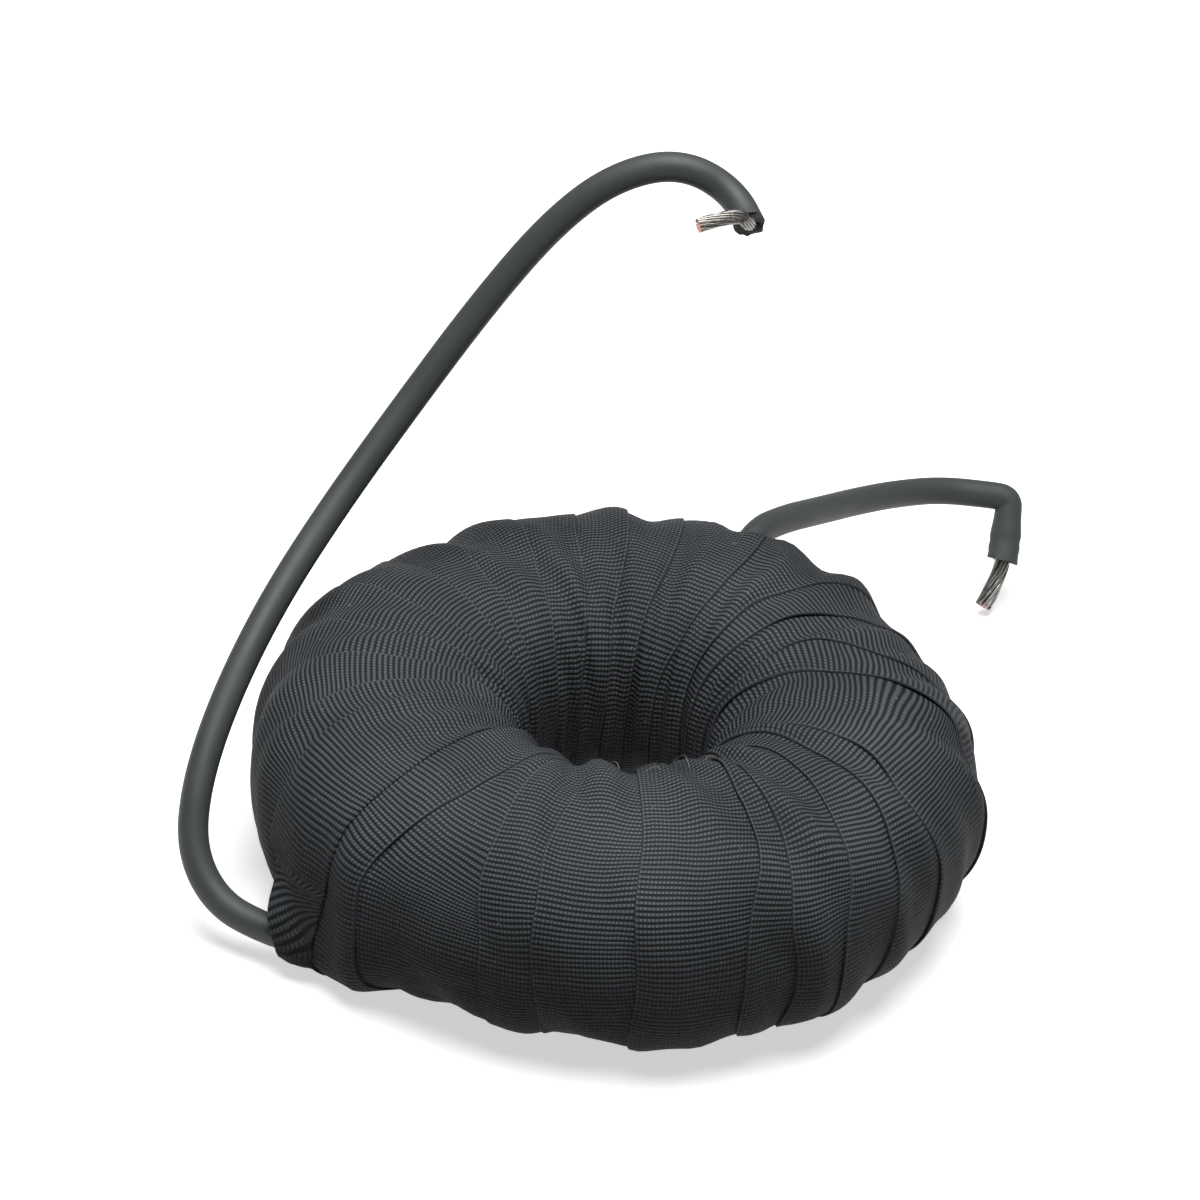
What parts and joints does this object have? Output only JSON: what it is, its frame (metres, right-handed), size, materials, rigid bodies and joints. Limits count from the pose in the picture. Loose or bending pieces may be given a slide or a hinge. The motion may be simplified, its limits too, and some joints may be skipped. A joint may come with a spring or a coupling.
{
  "type": "toroidal inductor",
  "caption": "Ring-shaped power inductor: a wound powder core under overlapping turns of black woven tape, with jacketed stranded leads stripped at their ends.",
  "frame": {"origin": "centre of the ring, on the surface that it rests on", "axes": "+Z along the ring's axis, upwards; the long lead leaves towards -X and -Y and the short lead towards +Y"},
  "size_m": [0.0978, 0.1136, 0.078],
  "materials": {
    "powder_core": "coated",
    "copper_winding": "enamelled",
    "woven_tape": "ribbed weave",
    "lead_jacket": "satin",
    "tinned_strands": "tinned",
    "splice_sleeve": "shrunk sleeve"
  },
  "bodies": {
    "root": {"core": "powder_core", "winding": "copper_winding", "tape_wrap": "woven_tape", "long_lead": "lead_jacket", "short_lead": "lead_jacket", "long_lead_strands": "tinned_strands", "short_lead_strands": "tinned_strands", "long_splice": "splice_sleeve", "short_splice": "splice_sleeve"}
  },
  "joints": []
}
